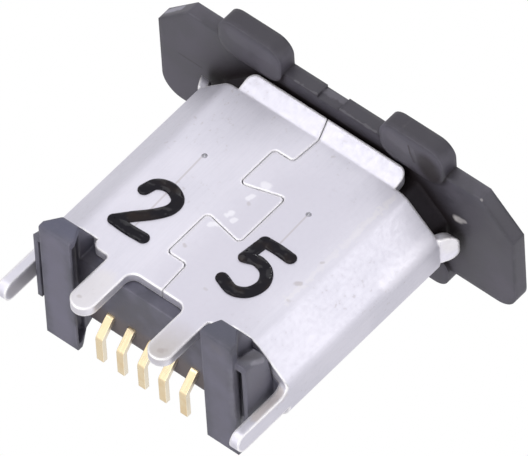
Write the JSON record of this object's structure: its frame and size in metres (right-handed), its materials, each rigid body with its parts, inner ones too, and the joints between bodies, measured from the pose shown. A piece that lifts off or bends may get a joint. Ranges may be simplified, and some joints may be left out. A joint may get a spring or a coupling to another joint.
{
  "type": "upright micro usb socket",
  "caption": "Upright micro USB socket for a circuit board: folded shell with a jigsaw seam, black housing, gold contacts and a pull-off pick-up cap.",
  "frame": {"origin": "on the board's top face, midway between the two feet and on the middle plane of the shell's depth", "axes": "+X along the row of contacts, towards the right foot; +Y out of the shell's plain back wall, the way the contact feet point; +Z away from the board, the way the plug comes out"},
  "size_m": [0.011, 0.005, 0.0084],
  "materials": {
    "shell_metal": "tin plated steel, satin",
    "housing_plastic": "black moulded plastic, slightly rough",
    "cap_plastic": "black moulded plastic, slightly rough",
    "contact_gold": "gold plated copper alloy, satin"
  },
  "bodies": {
    "socket": {"shell": "shell_metal", "housing": "housing_plastic", "contact_1": "contact_gold", "contact_2": "contact_gold", "contact_3": "contact_gold", "contact_4": "contact_gold", "contact_5": "contact_gold"},
    "cap": {"pick_up_cap": "cap_plastic"}
  },
  "joints": [
    {"name": "cap_pull", "type": "slide", "parent": "socket", "child": "cap", "axis": [0, 0, 1], "range_m": [0, 0.004]}
  ]
}
